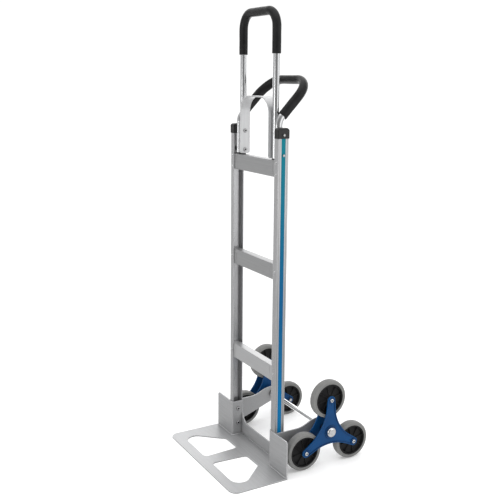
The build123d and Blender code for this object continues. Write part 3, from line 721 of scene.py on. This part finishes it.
# ---------------------------------------------------------------- wheels
def lathe(made, profile, centre, around):
    """Turn a closed profile of (x, radius) points about the X axis through centre."""
    rows = []
    for x, radius in profile:
        row = []
        for i in range(around):
            angle = 2 * math.pi * i / around
            spot = Vector((x, radius * math.cos(angle), radius * math.sin(angle)))
            row.append(made.verts.new(centre + spot))
        rows.append(row)
    for first, second in zip(rows, rows[1:] + rows[:1]):
        bridge(made, first, second)


def arc(centre, radius, start, end, steps):
    """Points of an arc in (x, radius) from start to end degrees."""
    made = []
    for i in range(steps + 1):
        angle = math.radians(start + (end - start) * i / steps)
        made.append((centre[0] + radius * math.cos(angle), centre[1] + radius * math.sin(angle)))
    return made


def tyre_half_profile(half, outer, inner):
    """From the middle of the tread to the seat, on the side of +x."""
    crown = 2.0 * MM
    shoulder = 5.0 * MM
    groove = 1.0 * MM
    parting = [(0, outer - 0.15 * MM), (0.5 * MM, outer - 0.15 * MM), (0.9 * MM, outer - 0.02 * MM)]
    flat_end = half - shoulder
    tread = []
    for i in range(1, 6):
        x = flat_end * i / 5
        tread.append((x, outer - crown * (x / half) ** 2))
    edge = tread[-1][1]
    rounded = arc((flat_end, edge - shoulder), shoulder, 80, 8, 7)
    wall_top = edge - shoulder - 0.4 * MM
    wall = [
        (half - 0.1 * MM, wall_top),
        (half - 0.2 * MM, inner + 5.2 * MM),
        (half - groove, inner + 4.6 * MM),
        (half - groove, inner + 3.8 * MM),
        (half - 0.2 * MM, inner + 3.2 * MM),
        (half, inner + 2.2 * MM),
        (half, inner + 0.6 * MM),
        (half - 0.6 * MM, inner),
    ]
    return parting + tread + rounded + wall


def mirrored(profile):
    """A half profile and its mirror image, as one closed outline."""
    return profile + [(-x, radius) for x, radius in reversed(profile) if x > 0]


def hub_half_profile(half, outer, bore):
    """From the rim's seat to the bore, on the side of +x."""
    rim_wall = 5.0 * MM
    web = 3.0 * MM
    boss = 14.0 * MM
    boss_half = 18.2 * MM
    rim_inner = outer - rim_wall
    return [
        (0, outer),
        (half - 0.8 * MM, outer),
        (half, outer - 0.8 * MM),
        (half, rim_inner + 1.0 * MM),
        (half - 0.7 * MM, rim_inner),
        (web + 4.5 * MM, rim_inner - 1.2 * MM),
        (web + 2.6 * MM, rim_inner - 2.2 * MM),
        (web + 1.8 * MM, rim_inner - 4.0 * MM),
        (web + 4.0 * MM, boss + 8.0 * MM),
        (web + 4.6 * MM, boss + 4.0 * MM),
        (web + 6.5 * MM, boss + 1.2 * MM),
        (boss_half - 1.0 * MM, boss),
        (boss_half, boss - 0.8 * MM),
        (boss_half, bore + 0.5 * MM),
        (boss_half - 0.5 * MM, bore),
        (0, bore),
    ]


def add_rib(made, centre, turn, start, end, half, web):
    """One radial rib on each face of the hub, with draft, and lowest halfway out."""
    foot, crest, crest_round = 2.6 * MM, 1.5 * MM, 0.8 * MM
    below_face, dip = 2.0 * MM, 2.4 * MM
    stations = 7
    for face in (1, -1):
        rows = []
        for i in range(stations):
            t = i / (stations - 1)
            radius = start + (end - start) * t
            height = half - below_face - dip * math.sin(math.pi * t)
            section = [
                (-foot, web * 0.5),
                (-crest, height - crest_round),
                (-crest * 0.5, height),
                (crest * 0.5, height),
                (crest, height - crest_round),
                (foot, web * 0.5),
            ]
            row = []
            for across, x in section:
                y = radius * math.cos(turn) - across * math.sin(turn)
                z = radius * math.sin(turn) + across * math.cos(turn)
                row.append(made.verts.new(centre + Vector((face * x, y, z))))
            rows.append(row)
        for first, second in zip(rows, rows[1:]):
            bridge(made, first, second)
        made.faces.new(rows[0])
        made.faces.new(rows[-1][::-1])


def add_wheel(finishes, side, wheel):
    """Tyre and hub of one wheel, both about the tyre's centre."""
    body = f"{side}_{wheel}_wheel"
    tyre_node, hub_node = f"{side}_{wheel}_tyre", f"{side}_{wheel}_wheel_hub"
    low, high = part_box(tyre_node)
    centre = (low + high) / 2
    half, outer = (high.x - low.x) / 2, (high.z - low.z) / 2
    hub_low, hub_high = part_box(hub_node)
    inner = (hub_high.z - hub_low.z) / 2
    bore, web, seat_gap = 6.08 * MM, 3 * MM, 0.02 * MM
    ribs, rib_start, rib_end = 8, 12 * MM, inner - 4 * MM

    def tyre(made):
        lathe(made, mirrored(tyre_half_profile(half, outer, inner)), centre, around=128)

    name = f"{side}_{wheel}_rubber_tyre"
    make_piece(name, body, finishes["grey_tyre"], tyre_node, tyre, sharp=50)

    def hub(made):
        lathe(made, mirrored(hub_half_profile(half, inner - seat_gap, bore)), centre, around=96)
        for i in range(ribs):
            turn = 2 * math.pi * (i + 0.25) / ribs
            add_rib(made, centre, turn, rib_start, rib_end, half, web)

    name = f"{side}_{wheel}_ribbed_hub"
    make_piece(name, body, finishes["wheel_hub"], hub_node, hub, sharp=40)


# ---------------------------------------------------------------- bolts and nuts
def solid_boxes(node):
    """Lowest and highest corners of each separate solid of a CAD node."""
    made = bmesh.new()
    made.from_mesh(frame["nodes"][node].data)
    bmesh.ops.remove_doubles(made, verts=made.verts, dist=0.001 * MM)
    unseen = set(made.verts)
    boxes = []
    while unseen:
        grown = [unseen.pop()]
        for vert in grown:
            for edge in vert.link_edges:
                other = edge.other_vert(vert)
                if other in unseen:
                    unseen.remove(other)
                    grown.append(other)
        low = Vector([min(vert.co[i] for vert in grown) for i in range(3)])
        high = Vector([max(vert.co[i] for vert in grown) for i in range(3)])
        boxes.append((low, high))
    made.free()
    return sorted(boxes, key=lambda box: tuple(box[0]))


def hexagon(corner, angle):
    """Distance from a hexagon's middle to its outline at an angle; corner is the longest one."""
    sixth = math.pi / 3
    return corner * math.cos(sixth / 2) / math.cos(angle % sixth - sixth / 2)


def turned_rows(made, origin, way, rows, closed):
    """Rings about X. A row is its distance along way, its radius, and its hexagon's corner or 0."""
    around = 48
    rings = []
    for x, radius, corner in rows:
        ring = []
        for i in range(around):
            angle = 2 * math.pi * i / around
            reach = min(radius, hexagon(corner, angle)) if corner else radius
            spot = Vector((way * x, reach * math.cos(angle), reach * math.sin(angle)))
            ring.append(made.verts.new(origin + spot))
        rings.append(ring)
    for first, second in zip(rings, rings[1:]):
        bridge(made, first, second)
    if closed:
        bridge(made, rings[-1], rings[0])
    else:
        made.faces.new(rings[0])
        made.faces.new(rings[-1])


def bolt_rows(shank, length, head, height):
    """A domed head with a hexagonal socket, on a plain shank with a chamfered end."""
    side = 0.22 * height
    mouth = 0.62 * head
    socket = 0.5 * head
    dome = [
        (side + (height - side) * math.sin(turn), mouth + (head - mouth) * math.cos(turn), 0)
        for turn in [math.pi / 2 * i / 6 for i in range(7)]
    ]
    return [
        (-length, shank - 0.5 * MM, 0),
        (-length + 0.5 * MM, shank, 0),
        (0, shank, 0),
        (0, head - 0.2 * MM, 0),
        (0.2 * MM, head, 0),
        *dome,
        (height - 0.05 * MM, socket * 1.12, 0),
        (height - 0.4 * MM, head, socket),
        (height * 0.1, head, socket),
    ]


def nut_rows(bore, corner, height):
    """A hexagon nut, chamfered on both faces, with a countersunk bore."""
    flat = corner * math.cos(math.pi / 6)
    bevel = 0.14 * height
    return [
        (0, bore, 0),
        (0, flat * 0.97, 0),
        (bevel * 0.5, flat * 1.07, corner),
        (bevel, corner, corner),
        (height - bevel * 1.6, corner, corner),
        (height - bevel * 0.8, flat * 1.06, corner),
        (height, flat * 0.94, 0),
        (height, bore + 0.5 * MM, 0),
        (height - 0.5 * MM, bore, 0),
    ]


def add_bolts(finishes, node, body, slot, shank, height, head_inwards):
    """Bolts for a node's solids. height is the head's; its other sizes come from the solids."""
    boxes = solid_boxes(node)

    def maker(made):
        for low, high in boxes:
            middle = (low + high) / 2
            outwards = 1 if middle.x > 0 else -1
            way = -outwards if head_inwards else outwards
            crown = high.x if way > 0 else low.x
            seat = Vector((crown - way * height, middle.y, middle.z))
            rows = bolt_rows(shank, high.x - low.x - height, (high.z - low.z) / 2, height)
            turned_rows(made, seat, way, rows, closed=False)

    make_piece(node + "_domed", body, finishes[slot], node, maker, sharp=30)


def add_nuts(finishes, node, body, slot, bore, outwards_way):
    """Nuts for a node's solids, which stand away from the middle (1) or towards it (-1)."""
    boxes = solid_boxes(node)

    def maker(made):
        for low, high in boxes:
            middle = (low + high) / 2
            way = outwards_way if middle.x > 0 else -outwards_way
            seat = Vector((low.x if way > 0 else high.x, middle.y, middle.z))
            corner = (high.z - low.z) / 2
            turned_rows(made, seat, way, nut_rows(bore, corner, high.x - low.x), closed=True)

    make_piece(node + "_chamfered", body, finishes[slot], node, maker, sharp=30)


def add_fasteners(finishes):
    thin, thick = 2.5 * MM, 4 * MM
    handle_head, frame_head, wheel_head = 3.4 * MM, 4.5 * MM, 4.2 * MM
    add_bolts(finishes, "handle_bolts", "frame", "zinc_steel", thin, handle_head, True)
    add_bolts(finishes, "frame_bolts", "frame", "zinc_steel", thick, frame_head, True)
    add_nuts(finishes, "handle_nuts", "frame", "zinc_steel", thin, 1)
    add_nuts(finishes, "frame_nuts", "frame", "zinc_steel", thick, 1)
    for side in SIDES:
        star = side + "_star"
        add_bolts(finishes, side + "_wheel_bolts", star, "bright_steel", thick, wheel_head, False)
        add_nuts(finishes, side + "_wheel_nuts", star, "zinc_steel", thick, -1)


# ---------------------------------------------------------------- welds
def add_weld(finishes):
    """One rippled bead along the foot of both ears, both side plates and the back sheet."""
    low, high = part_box("right_ear_plate")
    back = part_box("back_sheet")[0].y
    ear = low.y
    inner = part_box("back_sheet")[1].x
    end_gap = 1.5 * MM
    outer = high.x - end_gap
    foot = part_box("nose_plate")[1].z
    half = [(outer, ear), (inner, ear), (inner, back)]
    corners = [(x, y, foot) for x, y in half] + [(-x, y, foot) for x, y in reversed(half)]
    radii = [6 * MM, 1.5 * MM, 1.5 * MM, 6 * MM]
    path = bent_path(corners, radii, 0.6 * MM)
    bead, ripple, ripple_depth = 2.3 * MM, 2.7 * MM, 0.4 * MM
    wobble_scale = 60

    def maker(made):
        up = Vector((0, 0, 1))
        around = 12
        rings = []
        run = 0.0
        before = path[0][0]
        for place, along in path:
            run += (place - before).length
            before = place
            across = along.cross(up)
            wave = (run / ripple) % 1
            reach = bead - ripple_depth * wave ** 2 + noise.noise(place * wobble_scale) * ripple_depth
            ring = []
            for i in range(around):
                angle = 2 * math.pi * i / around
                spot = across * (reach * math.cos(angle)) + up * (reach * math.sin(angle))
                ring.append(made.verts.new(place + spot))
            rings.append(ring)
        for first, second in zip(rings, rings[1:]):
            bridge(made, first, second)
        made.faces.new(rings[0])
        made.faces.new(rings[-1])

    metal = finishes["tube_aluminium"]
    make_piece("weld_bead", "frame", metal, None, maker, sharp=50)


# ---------------------------------------------------------------- the whole object
add_camera()
add_studio()
add_floor()
finishes = make_finishes()
dress_frame(finishes)
add_loop_handle(finishes)
add_rear_handle(finishes)
for side in SIDES:
    for wheel in WHEELS:
        add_wheel(finishes, side, wheel)
add_fasteners(finishes)
add_weld(finishes)
